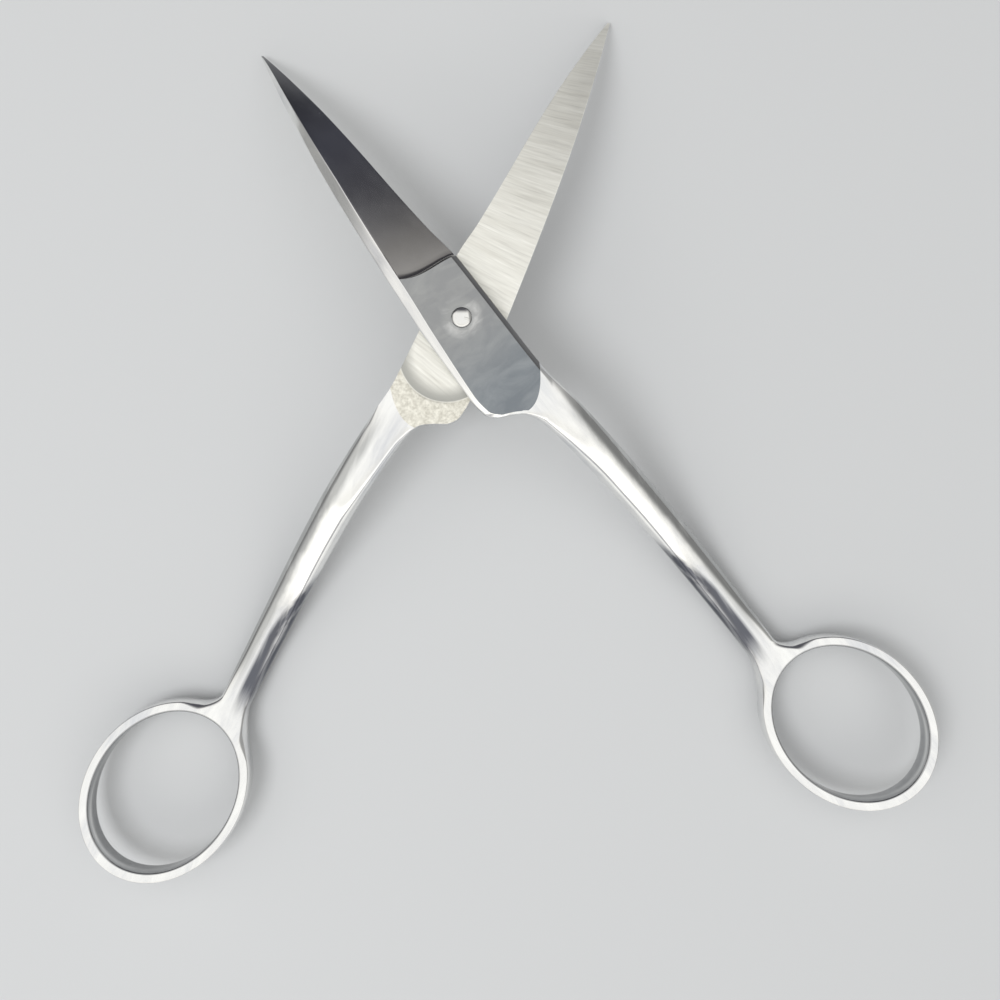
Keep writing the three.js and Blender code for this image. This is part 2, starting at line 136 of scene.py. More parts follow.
spine_side = through(
    (BLADE_LENGTH, -0.6 * POINT_WIDTH), (along_blade(0.76), -0.21 * BLADE_WIDTH),
    (along_blade(0.475), -0.385 * BLADE_WIDTH), (along_blade(0.26), -0.473 * BLADE_WIDTH),
    (along_blade(0.02), -0.541 * BLADE_WIDTH), (0, -PLATE_WIDTH / 2 - PLATE_SHIFT),
    (-0.58 * SHOULDER, -PLATE_WIDTH / 2 - PLATE_SHIFT),
    (4.3 - SHOULDER, -PLATE_WIDTH / 2 - PLATE_SHIFT + 0.4), (2.8 - SHOULDER, -4.3),
    (1.9 - SHOULDER, -2.3), (0.7 - SHOULDER, -0.5),
    (-1.1 - SHOULDER, SHANK_SHIFT - SHANK_WIDTH / 2), *shank_side(-1, 0.2, 0.35, 0.6, 0.8, 0.93, 1.05),
)
edge_side = through(
    (BLADE_LENGTH, 0.4 * POINT_WIDTH), (along_blade(0.82), 0.107 * BLADE_WIDTH),
    (along_blade(0.65), 0.185 * BLADE_WIDTH), (along_blade(0.475), 0.244 * BLADE_WIDTH),
    (along_blade(0.28), 0.302 * BLADE_WIDTH), (along_blade(0.12), 0.37 * BLADE_WIDTH),
    (STEP_REACH, 0.449 * BLADE_WIDTH), (0, PLATE_WIDTH / 2 - PLATE_SHIFT),
    (-0.69 * SHOULDER, PLATE_WIDTH / 2 - PLATE_SHIFT + 0.4),
    *shank_side(1, 0.06, 0.32, 0.59, 0.78, 0.92, 1.05),
)

BLADE_FALL = PIVOT_HEIGHT - RIDE_GAP / 2 - TIP_THICK
BLADE_BEND = ((BLADE_LENGTH - FLAT_RADIUS) ** 2 + BLADE_FALL ** 2) / (2 * BLADE_FALL)


def ride_height(r):
    reach = np.clip(r - FLAT_RADIUS, 0, 0.99 * BLADE_BEND)
    return PIVOT_HEIGHT - BLADE_BEND + np.sqrt(BLADE_BEND ** 2 - reach ** 2)


def shank_height(r):
    run = NECK_REACH - SHOULDER
    t = (r - SHOULDER) / run
    reach = SHOULDER - FLAT_RADIUS
    start = -reach / math.sqrt(BLADE_BEND ** 2 - reach ** 2)
    low = SHANK_THICK / 2
    falling = mix(ride_height(SHOULDER), low, t * t * (3 - 2 * t)) + run * start * t * (1 - t) ** 2
    lift = np.minimum(r, RING_NEAR) - NECK_REACH
    rising = low + RING_RISE * lift ** 2 / (2 * NECK_LIFT) + RING_RISE * np.maximum(r - RING_NEAR, 0)
    return np.where(t < 1, falling, rising)


def form_height(u, v):
    r = np.hypot(u, v)
    return np.where((u > 0) | (r < SHOULDER), ride_height(r), shank_height(r))


def step_line(v):
    return STEP_REACH - 0.075 * (v - 1.4) - 0.007 * (v - 1.4) ** 3


def plate_end(v):
    return 0.17 * np.maximum(v, 0) ** 2 + HEEL_INSET - SHOULDER


def spine_bevel(u):
    taper = np.clip((BLADE_LENGTH - u) / SPINE_BEVEL_RUN, 0, 1) ** 0.55
    blade = np.maximum(SPINE_BEVEL * taper, 0.3 * POINT_WIDTH)
    plate = mix(HEEL_BEVEL, SPINE_BEVEL, smooth(u, 4 - SHOULDER, STEP_REACH))
    return np.where(u > STEP_REACH, blade, plate)


def blade_outer(u, v):
    along = np.clip((BLADE_LENGTH - u) / (BLADE_LENGTH - STEP_REACH), 0, 1)
    thick = mix(TIP_THICK, RIDGE_THICK, along ** 0.8)
    spine, edge, bevel = spine_side(u), edge_side(u), spine_bevel(u)
    slope = (thick - EDGE_THICK) / (edge - spine - bevel)
    over = v - spine - bevel
    corner = 0.05 * np.minimum(1, bevel)
    return thick - slope * soft(over, corner) - SPINE_SLOPE * soft(-over, corner)


def plate_outer(u, v):
    flat = PLATE_THICK + PIVOT_HEIGHT - ride_height(np.hypot(u, v))
    spine_cut = soft(spine_side(u) + spine_bevel(u) - v, 0.05) * SPINE_SLOPE
    edge_cut = soft(v - edge_side(u) + PLATE_CHAMFER, 0.05)
    return flat - spine_cut * smooth(u, HEEL_INSET - SHOULDER, 4 - SHOULDER) - edge_cut


PLATE_AT_SHOULDER = PLATE_THICK + PIVOT_HEIGHT - float(ride_height(SHOULDER))


def bar(u, v):
    swell = smooth(-u, SHOULDER, SHOULDER + SHANK_SWELL)
    centre = mix(PLATE_AT_SHOULDER / 2, -RIDE_GAP / 2, swell)
    neck = smooth(-u, NECK_REACH, RING_NEAR)
    half = mix(mix(PLATE_AT_SHOULDER, SHANK_THICK, swell), 0.93 * RING_THICK, neck) / 2
    roundness = mix(SHANK_ROUND, NECK_ROUND, neck)
    spine, edge = spine_side(u), edge_side(u)
    q = np.clip(np.abs(2 * v - spine - edge) / (edge - spine), 0, 1)
    section = SHANK_FLANK + (1 - SHANK_FLANK) * (1 - q ** roundness) ** (1 / roundness)
    return centre + half * section, centre - half * section


def outer_height(u, v):
    lead = np.clip((u - step_line(v)) / STEP_FILLET, 0, 1)
    fillet = np.where(lead > 0, 1 - np.sqrt(1 - (1 - lead) ** 2), 1)
    on_back = v <= spine_side(u) + spine_bevel(u)
    share = np.where(on_back, 1 - smooth(u, STEP_REACH - 1, STEP_REACH + 7), fillet)
    front = mix(blade_outer(u, v), plate_outer(u, v), share)
    past = np.clip((plate_end(v) - u) / BAR_RUN_IN, 0, 1)
    return mix(front, bar(u, v)[0], past ** 0.8)


def inner_height(u, v):
    past = np.clip((np.hypot(u, v) - SHOULDER) / BAR_RUN_IN, 0, 1)
    x = (v - spine_side(u)) / (edge_side(u) - spine_side(u))
    behind = np.where(u < -HOLLOW_END, np.hypot(u + HOLLOW_END, v) - HOLLOW_RADIUS, -HOLLOW_RUNOUT)
    ground = (1 - smooth(behind, 0, HOLLOW_RUNOUT)) * np.clip((BLADE_LENGTH - u) / HOLLOW_FADE, 0, 1)
    hollow = HOLLOW_DEPTH * 4 * x * (1 - x) * ground
    return np.where((u < 0) & (past > 0), bar(u, v)[1] * past ** 0.8, hollow)


# Rows of points across a face: each mark gives u for a v, and the number of rows up to it
def straight(u):
    return lambda v: np.full_like(v, u)


def step_row(ahead):
    return lambda v: step_line(v) + ahead * STEP_FILLET


def plate_row(ahead):
    return lambda v: plate_end(v) + ahead


def hollow_row(radius):
    return lambda v: -HOLLOW_END - np.sqrt(np.maximum(radius ** 2 - v ** 2, 0))


def shoulder_row(behind):
    return lambda v: -np.sqrt(np.maximum((SHOULDER + behind * BAR_RUN_IN) ** 2 - v ** 2, 0))


def ground_end(v):
    return 0.13 * np.maximum(v, 0) ** 2 - GROUND_REACH


def heel_row(share):
    front = hollow_row(HOLLOW_RADIUS + HOLLOW_RUNOUT)
    return lambda v: mix(front(v), ground_end(v), share)


NECK_START = 2.7 - RING_NEAR
blade_marks = [
    (1, straight(BLADE_LENGTH)), (12, straight(along_blade(0.87))), (44, straight(along_blade(0.13))),
]
shank_marks = [
    (10, straight(along_shank(0.17))), (60, straight(along_shank(0.87))), (8, straight(NECK_START)),
]
outer_marks = [
    *blade_marks, (8, step_row(1)), *[(2, step_row(x)) for x in (0.7, 0.42, 0.2, 0.07, 0)],
    (14, plate_row(0.6 * SHOULDER)), (8, plate_row(3.3)), (6, plate_row(1.8)), (4, plate_row(0.9)),
    *[(4, plate_row(-x * BAR_RUN_IN)) for x in (0, 0.13, 0.33, 0.5, 0.7, 1, 1.33)], *shank_marks,
]
inner_marks = [
    *blade_marks, (20, straight(0)), (14, hollow_row(HOLLOW_RADIUS)),
    (4, hollow_row(HOLLOW_RADIUS + HOLLOW_RUNOUT)), (12, heel_row(0.75)), (8, heel_row(1)),
    *[(4, shoulder_row(x)) for x in (0, 0.15, 0.35, 0.6, 1)], *shank_marks,
]


def columns(u):
    """v of each column at u, which has a row for each point of the grid."""
    spine, edge, bevel = spine_side(u), edge_side(u), spine_bevel(u)
    near = np.array([0, 0.03, 0.08, 0.2, 0.45, 0.75, 0.92, 0.97])
    last = np.array([0, 0.04, 0.1, 0.4, 0.8, 0.95, 1])
    main = np.linspace(0, 1, ACROSS + 1 - len(near) - len(last) + 1)[:-1]
    main = mix(main, (1 - np.cos(np.pi * main)) / 2, 0.6)
    chamfer = mix(PLATE_CHAMFER, (edge - spine - bevel) / 12, smooth(u, STEP_REACH - 1, STEP_REACH + 6))
    j = np.arange(ACROSS + 1)
    a = np.r_[near, np.ones(ACROSS + 1 - len(near))][j]
    b = np.r_[np.zeros(len(near)), main, np.ones(len(last))][j]
    c = np.r_[np.zeros(ACROSS + 1 - len(last)), last][j]
    flat = spine + a * bevel + b * (edge - chamfer - spine - bevel) + c * chamfer
    rounded = mix(spine, edge, (1 - np.cos(np.pi * j / ACROSS)) / 2)
    return mix(flat, rounded, smooth(-u, 0.7 * SHOULDER, 1.1 * SHOULDER))


def face_grid(marks, height):
    """u, v and height over the riding surface of every point of a face."""
    blocks, before = [], marks[0][1]
    level = np.zeros((1, ACROSS + 1))
    for count, row in marks:
        share = np.arange(1, count + 1)[:, None] / count
        u = mix(before(level), row(level), share)
        for _ in range(ROW_ROUNDS):
            v = columns(u)
            u = mix(u, mix(before(v), row(v), share), 0.6)
        blocks.append((u, columns(u)))
        before = row
    u, v = (np.concatenate([b[k] for b in blocks]) for k in (0, 1))
    return u, v, height(u, v)


def eased(outer, inner):
    """Rounds the border between a face and the flanks a little."""
    thick = outer[2] - inner[2]
    for grid, sign in ((outer, -1), (inner, 1)):
        gu, gv, gz = grid
        flat = 1 - smooth(-gu, 0.7 * SHOULDER, 1.1 * SHOULDER)
        for border in (0, -1):
            radius = np.minimum(EDGE_ROUND, 0.4 * thick[:, border])[:, None] * np.maximum(flat, 0.001)
            away = np.abs(gv - gv[:, border][:, None])
            cut = radius - np.sqrt(np.maximum(radius ** 2 - np.maximum(radius - away, 0) ** 2, 0))
            gz += sign * cut


def half_loops(side):
    """The closed sections of blade, plate and shank, in the frame of the half."""
    outer = face_grid(outer_marks, outer_height)
    inner = face_grid(inner_marks, inner_height)
    eased(outer, inner)
    solid = []
    for u, v, over in (outer, inner):
        z = form_height(u, v) + side * (over + RIDE_GAP / 2)
        solid.append(np.stack([u, -side * v, z], -1))
    out, back = solid
    steps = (np.arange(1, FLANK) / FLANK)[None, :, None]
    edge = mix(out[:, -1:, :], back[:, -1:, :], steps)
    spine = mix(back[:, :1, :], out[:, :1, :], steps)
    return np.concatenate([out, edge, back[:, ::-1, :], spine], 1)


def rim_section():
    """Points round the squared oval of the ring's section, from the outside over the top. They are
    closer together where it turns."""
    roll = np.linspace(0, 2 * np.pi, RIM_SAMPLES)
    x = np.sign(np.cos(roll)) * np.abs(np.cos(roll)) ** (2 / RING_FLAT)
    z = np.sign(np.sin(roll)) * np.abs(np.sin(roll)) ** (2 / RING_SQUARE)
    along_x, along_z = np.diff(x * RIM_LONG / 2), np.diff(z * RING_THICK / 2)
    turn = np.abs(np.diff(np.unwrap(np.arctan2(along_z, along_x)), prepend=math.pi / 2))
    length = np.r_[0, np.cumsum(np.hypot(along_x, along_z) + turn)]
    at = np.linspace(0, length[-1], RIM + 1)[:-1]
    return np.interp(at, length, x), np.interp(at, length, z)


def ring_sections(side, angles, outwards=0.0):
    """Sections of the finger ring at angles counted from its near end, moved outwards if asked."""
    x, z = rim_section()
    t = np.asarray(angles)[:, None]
    long, short = RING_LONG + RIM_LONG / 2, RING_SHORT + RIM_SHORT / 2
    out = np.stack([-RING_SHORT * np.cos(t), RING_LONG * np.sin(t)], -1)
    out /= np.linalg.norm(out, axis=-1, keepdims=True)
    rim = mix(RIM_SHORT, RIM_LONG, np.cos(t) ** 2) / 2
    a = -long * np.cos(t) + out[..., 0] * (rim * x + outwards)
    b = short * np.sin(t) + out[..., 1] * (rim * x + outwards)
    u = -RING_REACH - a * math.cos(RING_TURN) + b * math.sin(RING_TURN)
    v = RING_OFFSET + a * math.sin(RING_TURN) + b * math.cos(RING_TURN)
    lift = float(shank_height(np.float64(RING_NEAR))) + RING_RISE * (-u - RING_NEAR)
    return np.stack([u, -side * v, lift + side * RING_THICK / 2 * z], -1)


def half_mesh(side):
    """Vertices and faces of a half, with the neck drawn smoothly from shank to ring."""
    loops = half_loops(side)
    n = loops.shape[1]
    wide_steps = ACROSS - 2 * SIDE
    wide = np.linspace(math.radians(NECK_FROM), math.radians(NECK_TO), wide_steps + 1)
    rest = np.linspace(wide[-1], wide[0] + 2 * np.pi, RING_STEPS + 2)[1:-1]
    ring = ring_sections(side, np.r_[wide, rest])
    top, bottom = RIM // 4, 3 * RIM // 4
    down = [top - k for k in range(RIM // 2 + 1)]
    border = [(i, top) for i in range(wide_steps)]
    border += [(wide_steps, j) for j in down[:-1]]
    border += [(i, bottom) for i in range(wide_steps, 0, -1)]
    border += [(0, j) for j in reversed(down[1:])]

    # The loop before the ring leaves it squarely: outwards from its crest, and along it from its wall
    outwards = ring_sections(side, wide, NECK_LEAD)
    turn = NECK_LEAD / RING_LONG
    near_ends = ring_sections(side, [wide[0] + turn, wide[-1] - turn])
    ends = {0: near_ends[0], wide_steps: near_ends[1]}
    lead = []
    for i, j in border:
        if j % RIM not in (top, bottom):
            lead.append(ends[i][j % RIM])
        elif i in ends:
            lead.append((ends[i][j] + outwards[i][j]) / 2)
        else:
            lead.append(outwards[i][j])
    order = [(SIDE + k) % n for k in range(n)]
    last = loops[-1][order]
    first = last + (last - loops[-2][order]) * 0.6
    shares = np.linspace(0, 1, NECK_STEPS - 1)[:, None, None]
    neck = mix(first[None], np.array(lead)[None], shares)

    points = np.concatenate([loops.reshape(-1, 3), ring.reshape(-1, 3), neck.reshape(-1, 3)])
    ring_at = len(loops) * n
    neck_at = ring_at + len(ring) * RIM

    def on_ring(i, j):
        return ring_at + (i % len(ring)) * RIM + j % RIM

    faces = []
    for i in range(len(loops) - 1):
        for k in range(n):
            m = (k + 1) % n
            faces.append((i * n + k, i * n + m, (i + 1) * n + m, (i + 1) * n + k))
    for i in range(len(ring)):
        for j in range(RIM):
            if i < wide_steps and not top <= j < bottom:
                continue
            faces.append((on_ring(i, j), on_ring(i, j + 1), on_ring(i + 1, j + 1), on_ring(i + 1, j)))
    rows = [[(len(loops) - 1) * n + k for k in order]]
    rows += [[neck_at + s * n + k for k in range(n)] for s in range(NECK_STEPS - 1)]
    rows += [[on_ring(i, j) for i, j in border]]
    for a, b in zip(rows, rows[1:]):
        for k in range(n):
            m = (k + 1) % n
            faces.append((a[k], a[m], b[m], b[k]))
    faces.append(tuple(range(n)))
    corner = [k for k, (i, j) in enumerate(border) if min(i, wide_steps - i) <= NECK_CORNER]
    free = sum(rows[2:-2], []) + [row[k] for row in rows[-2:] for k in corner]
    for step in range(1, NECK_BLEND + 1):
        free += [on_ring(i, j) for i in (-step, wide_steps + step) for j in down]
    return relaxed(points, faces, free), faces


def relaxed(points, faces, free):
    """Moves the free vertices to where the surface through them bends least."""
    near = [set() for _ in range(len(points))]
    for face in faces:
        if len(face) == 4:
            for a, b in zip(face, face[1:] + face[:1]):
                near[a].add(b)
                near[b].add(a)
    rows = sorted(set(free) | {b for a in free for b in near[a]})
    used = sorted(set(rows) | {b for a in rows for b in near[a]})
    column = {a: i for i, a in enumerate(used)}
    bend = np.zeros((len(rows), len(used)))
    for i, a in enumerate(rows):
        bend[i, column[a]] = -1
        for b in near[a]:
            bend[i, column[b]] = 1 / len(near[a])
    loose = [column[a] for a in free]
    held = sorted(set(range(len(used))) - set(loose))
    right = -bend[:, held] @ points[[used[i] for i in held]]
    points = points.copy()
    inner = bend[:, loose]
    points[free] = np.linalg.solve(inner.T @ inner, inner.T @ right)
    return points


def mesh_object(name, points, faces):
    mesh = bpy.data.meshes.new(name)
    mesh.from_pydata((np.asarray(points) * MM).tolist(), [], faces)
    made = bmesh.new()
    made.from_mesh(mesh)
    bmesh.ops.delete(made, geom=[vertex for vertex in made.verts if not vertex.link_faces], context="VERTS")
    bmesh.ops.recalc_face_normals(made, faces=made.faces)
    made.to_mesh(mesh)
    made.free()
    obj = bpy.data.objects.new(name, mesh)
    bpy.context.scene.collection.objects.link(obj)
    return obj


def turned(name, profile):
    """A closed solid turned about the pivot axis from radii and heights, both ends on the axis."""
    points, faces, rings = [], [], []
    for r, z in profile:
        if r == 0:
            rings.append([len(points)])
            points.append((0, 0, z))
        else:
            rings.append(list(range(len(points), len(points) + TURN_STEPS)))
            angle = 2 * np.pi * np.arange(TURN_STEPS) / TURN_STEPS
            points.extend(zip(r * np.cos(angle), r * np.sin(angle), np.full(TURN_STEPS, z)))
    for a, b in zip(rings, rings[1:]):
        for k in range(TURN_STEPS):
            m = (k + 1) % TURN_STEPS
            ring = [a[k % len(a)], a[m % len(a)], b[m % len(b)], b[k % len(b)]]
            faces.append(tuple(dict.fromkeys(ring)))
    return mesh_object(name, points, [f for f in faces if len(f) > 2])


def cut(obj, tool):
    """Cuts the tool's solid out of the object and removes the tool."""
    change = obj.modifiers.new("cut", "BOOLEAN")
    change.operation, change.solver, change.object = "DIFFERENCE", "EXACT", tool
    bpy.context.view_layer.update()
    result = bpy.data.meshes.new_from_object(obj.evaluated_get(bpy.context.evaluated_depsgraph_get()))
    obj.modifiers.remove(change)
    obj.data = result
    bpy.data.objects.remove(tool)


# Nodes for the materials and the world
def node(tree, kind, **inputs):
    made = tree.nodes.new(kind)
    for name, value in inputs.items():
        feed(tree, value, made.inputs[name.replace("_", " ")])
    return made


def feed(tree, value, socket):
    """Gives a socket its value, or the link that it comes from."""
    if isinstance(value, bpy.types.NodeSocket):
        tree.links.new(value, socket)
    else:
        socket.default_value = value


def ramp(tree, factor, *stops):
    """The colour at the factor. Each stop is a place from 0 to 1 and the colour or gray there."""
    made = node(tree, "ShaderNodeValToRGB", Fac=factor)
    while len(made.color_ramp.elements) < len(stops):
        made.color_ramp.elements.new(0.5)
    for element, (at, colour) in zip(made.color_ramp.elements, stops):
        element.position = at
        element.color = (*colour, 1) if hasattr(colour, "__len__") else (colour, colour, colour, 1)
    return made.outputs["Color"]


def eased_ramp(tree, factor, *stops):
    colour = ramp(tree, factor, *stops)
    colour.node.color_ramp.interpolation = "EASE"
    return colour


def spread(tree, value, low, high, to_low=0.0, to_high=1.0):
    """The value stretched so that low and high give to_low and to_high."""
    return node(tree, "ShaderNodeMapRange", Value=value, From_Min=low, From_Max=high,
                To_Min=to_low, To_Max=to_high).outputs["Result"]


def blend(tree, factor, a, b):
    """a where the factor is 0 and b where it is 1. Each is a colour or a socket."""
    made = tree.nodes.new("ShaderNodeMix")
    made.data_type = "RGBA"
    feed(tree, factor, made.inputs["Factor"])
    for name, value in (("A", a), ("B", b)):
        feed(tree, value if isinstance(value, bpy.types.NodeSocket) else (*value, 1), made.inputs[name])
    return made.outputs["Result"]


def calculate(tree, operation, a, b):
    made = tree.nodes.new("ShaderNodeMath")
    made.operation = operation
    feed(tree, a, made.inputs[0])
    feed(tree, b, made.inputs[1])
    return made.outputs["Value"]


def stored(tree, name):
    """A vector that the mesh keeps for each point."""
    made = tree.nodes.new("ShaderNodeAttribute")
    made.attribute_name = name
    return made.outputs["Vector"]


def own_place(tree):
    """The half's own coordinates: x runs along it and y across, in metres."""
    return stored(tree, "along_and_across")


def along(tree):
    """Distance along the half from the pivot, in metres, plus towards the point."""
    return node(tree, "ShaderNodeSeparateXYZ", Vector=own_place(tree)).outputs["X"]


def away_from(tree, u):
    """Distance in metres from the place u millimetres along the half, seen from above."""
    moved = node(tree, "ShaderNodeMapping", Vector=own_place(tree), Location=(-u * MM, 0, 0), Scale=(1, 1, 0))
    made = tree.nodes.new("ShaderNodeVectorMath")
    made.operation = "LENGTH"
    feed(tree, moved.outputs["Vector"], made.inputs[0])
    return made.outputs["Value"]


def noise(tree, scale, detail=3.0, stretch=(1, 1, 1), roughness=0.5, distortion=0.0, place=None):
    mapped = node(tree, "ShaderNodeMapping", Vector=place or own_place(tree), Scale=stretch)
    return node(tree, "ShaderNodeTexNoise", Vector=mapped.outputs["Vector"], Scale=scale, Detail=detail,
                Roughness=roughness, Distortion=distortion).outputs["Fac"]


# Materials
def steel(name, rough, metallic=1.0):
    """Steel without its colour and relief. rough is the range of its roughness."""
    material = bpy.data.materials.new(name)
    material.use_nodes = True
    tree = material.node_tree
    set_input(tree, "Metallic", metallic)
    smears = noise(tree, 210, 5, (0.6, 1.4, 1), 0.65, 0.4)
    set_input(tree, "Roughness", spread(tree, smears, 0.3, 0.75, *rough))
    return material, tree


def set_input(tree, name, value):
    feed(tree, value, tree.nodes["Principled BSDF"].inputs[name])


def mottled(tree, dark, light):
    """Two colours that drift into each other over about a centimetre."""
    return ramp(tree, noise(tree, 90, 4, (1, 1, 1), 0.6), (0.32, dark), (0.68, light))


def polish(tree, scratch, wave):
    """Relief of fine lines along the half, scratch metres deep, and of uneven polish, wave metres deep."""
    lines = noise(tree, 1000, 3, (0.35, 9, 9), 0.7)
    waves = noise(tree, 130, 2, (1, 1.6, 1), 0.5)
    uneven = node(tree, "ShaderNodeBump", Strength=1.0, Distance=wave, Height=waves)
    lined = node(tree, "ShaderNodeBump", Strength=1.0, Distance=scratch, Height=lines,
                 Normal=uneven.outputs["Normal"])
    set_input(tree, "Normal", lined.outputs["Normal"])


def plain_steel(name, dark, light, rough, scratch, wave):
    material, tree = steel(name, rough)
    set_input(tree, "Base Color", mottled(tree, dark, light))
    polish(tree, scratch, wave)
    return material


def polished_steel():
    """The steel of shanks and rings, with painted reflections on the shank's flanks and painted shade on the
    ring's inner wall.
    """
    material, tree = steel("polished_steel", (0.05, 0.14))
    painted_amount = node(tree, "ShaderNodeSeparateXYZ", Vector=stored(tree, "painted_reflection_and_shade"))
    streaks = noise(tree, 700, 3, (0.06, 1, 1), 0.6)
    uneven = spread(tree, streaks, 0.35, 0.65, 0.65, 1.35)
    colour = ramp(tree, noise(tree, 320, 4, (0.22, 1, 1), 0.62, 0.3),
                  (0.30, (0.68, 0.69, 0.71)), (0.50, (0.83, 0.83, 0.82)), (0.66, (0.91, 0.91, 0.89)))
    # Painted reflections on the shank's flanks: dark along the spine side, gray along the edge side.
    for flank, painted_flank_reflection in (("X", (0.13, 0.135, 0.155)), ("Y", (0.50, 0.505, 0.50))):
        share = calculate(tree, "MULTIPLY", uneven, painted_amount.outputs[flank])
        colour = blend(tree, spread(tree, share, 0.1, 0.95), colour, painted_flank_reflection)
    # Painted shade on the ring's inner wall, lighter and darker in streaks.
    wall = blend(tree, streaks, (0.30, 0.305, 0.31), (0.48, 0.485, 0.49))
    set_input(tree, "Base Color", blend(tree, painted_amount.outputs["Z"], colour, wall))
    polish(tree, 0.0000015, 0.000012)
    return material


def plate_steel():
    """The pivot plate: darker and bluer towards its rounded end, which is painted reflection;
    faintly smudged, and lighter round the screw.
    """
    material, tree = steel("plate_steel", (0.12, 0.24))
    smudge = noise(tree, 330, 4, (1, 0.5, 1), 0.6, 0.8)
    base = mottled(tree, (0.285, 0.29, 0.295), (0.32, 0.325, 0.325))
    near = blend(tree, spread(tree, smudge, 0.45, 0.7), base, (0.36, 0.365, 0.36))
    far = blend(tree, spread(tree, smudge, 0.35, 0.75), (0.205, 0.225, 0.245), (0.295, 0.315, 0.33))
    # Painted reflection: darker and bluer towards the plate's rounded end.
    colour = blend(tree, spread(tree, along(tree), -0.0005, -0.011), near, far)
    round_screw = spread(tree, away_from(tree, 0), 0.0014, 0.0032)
    lighter_round_screw = ramp(tree, round_screw, (0.0, 0.35), (0.3, 0.9), (1.0, 0.0))
    round_screw_tone = blend(tree, spread(tree, smudge, 0.4, 0.6), (0.36, 0.365, 0.36), (0.62, 0.62, 0.61))
    set_input(tree, "Base Color", blend(tree, lighter_round_screw, colour, round_screw_tone))
    polish(tree, 0.000002, 0.00002)
    return material


def bevel_steel():
    """The ground bevels outside: warm gray at the plate, then bluish, and nearly black at the point.
    This darkening along the blade is painted reflection.
    """
    material, tree = steel("bevel_steel", (0.18, 0.28))
    at_plate = mottled(tree, (0.31, 0.30, 0.29), (0.37, 0.36, 0.35))
    # Painted reflection: bluish along the middle of the blade, nearly black towards the point.
    colour = blend(tree, spread(tree, along(tree), 0.014, 0.032), at_plate, (0.40, 0.41, 0.45))
    colour = blend(tree, spread(tree, along(tree), 0.034, 0.046), colour, (0.12, 0.12, 0.13))
    set_input(tree, "Base Color", colour)
    polish(tree, 0.000002, 0.000008)
    return material


def ground_steel():
    """The ground inner faces: satin, with fine lines that fan out from a point beside the blade, and
    behind the screw a hollow with a painted dark reflection round its rim, and a rough heel."""
    material, tree = steel("ground_steel", (0.34, 0.48), metallic=0.45)
    fan_u, fan_v = 13.6 * MM, 86 * MM
    moved = node(tree, "ShaderNodeMapping", Vector=own_place(tree), Location=(-fan_u, -fan_v, 0))
    flat = node(tree, "ShaderNodeSeparateXYZ", Vector=moved.outputs["Vector"])
    turn = calculate(tree, "ARCTAN2", flat.outputs["X"], flat.outputs["Y"])
    strokes = node(tree, "ShaderNodeCombineXYZ", X=turn, Y=flat.outputs["Y"]).outputs["Vector"]
    fine = noise(tree, 1, 3, (240, 130, 1), 0.62, place=strokes)
    broad = noise(tree, 1, 3, (60, 60, 1), 0.55, place=strokes)
    lines = ramp(tree, fine, (0.30, (0.50, 0.49, 0.45)), (0.44, (0.71, 0.70, 0.65)),
                 (0.58, (0.81, 0.80, 0.745)), (0.70, (0.98, 0.97, 0.93)))
    patches = ramp(tree, broad, (0.35, (0.69, 0.68, 0.62)), (0.65, (0.85, 0.845, 0.79)))
    blade = blend(tree, 0.5, lines, patches)
    grain = noise(tree, 1500, 4, (1, 1, 1), 0.7)
    rough_heel = ramp(tree, grain, (0.36, (0.55, 0.53, 0.46)), (0.64, (0.82, 0.80, 0.72)))
    reach = away_from(tree, -HOLLOW_END)
    # Painted dark reflection: a darker band round the hollow's rim, where its run-out slopes.
    rim = ramp(tree, spread(tree, reach, 0.0046, 0.0076), (0.0, 0.0), (0.5, 0.85), (0.74, 1.0), (0.78, 0.0))
    heel = blend(tree, spread(tree, reach, 0.0069, 0.0071), blade, rough_heel)
    heel = blend(tree, rim, heel, (0.37, 0.37, 0.345))
    behind = spread(tree, along(tree), -0.004, -0.0065)
    set_input(tree, "Base Color", blend(tree, behind, blade, heel))
    relief = node(tree, "ShaderNodeBump", Strength=1.0, Distance=0.000014, Height=fine)
    set_input(tree, "Normal", relief.outputs["Normal"])
    return material


# The finishes of a half, in the order of their numbers
POLISHED, PLATE, BEVEL, GROUND, PLATE_RIM = range(5)
half_finishes = [
    polished_steel(), plate_steel(), bevel_steel(), ground_steel(),
    # The dark rim steel is a painted dark reflection on the plate's edge chamfer.
    plain_steel("rim_steel_painted_dark", (0.17, 0.17, 0.175), (0.23, 0.23, 0.23), (0.12, 0.2), 0.000002, 0.000008),
]


# The halves
def clothe(obj, side):
    """Gives the faces of a half their finish by where they lie on it."""
    for material in half_finishes:
        obj.data.materials.append(material)
    count = len(obj.data.polygons)
    centre, normal = np.zeros(3 * count), np.zeros(3 * count)
    obj.data.polygons.foreach_get("center", centre)
    obj.data.polygons.foreach_get("normal", normal)
    u, y, z = centre.reshape(-1, 3).T / MM
    v, up = -side * y, side * normal.reshape(-1, 3)[:, 2]
    over = side * (z - form_height(u, v)) - RIDE_GAP / 2
    past_step = u - step_line(v)
    hair = 0.02  # millimetres by which the middle of a face may miss the line between two finishes
    outside = (up > 0.3) & (over > 0.08)
    inside = (up < -0.6) & (over < 0.5) & (over > -0.3)
    main = v > spine_side(u) + spine_bevel(u)
    on_step = (past_step > hair) & (past_step < STEP_FILLET) & (up > 0.02) & (over > 0.3)
    rim = v > edge_side(u) - PLATE_CHAMFER
    plate = outside & main & (past_step <= hair) & (u > plate_end(v))
    slot = np.full(count, POLISHED)
    slot[main & (outside & (past_step > hair) | on_step)] = BEVEL
    slot[plate & ~rim] = PLATE
    # The plate's edge chamfer gets the dark rim steel, a painted dark reflection.
    slot[plate & rim] = PLATE_RIM
    slot[inside & (u > ground_end(v) - hair)] = GROUND
    obj.data.polygons.foreach_set("material_index", slot.astype(np.int32))


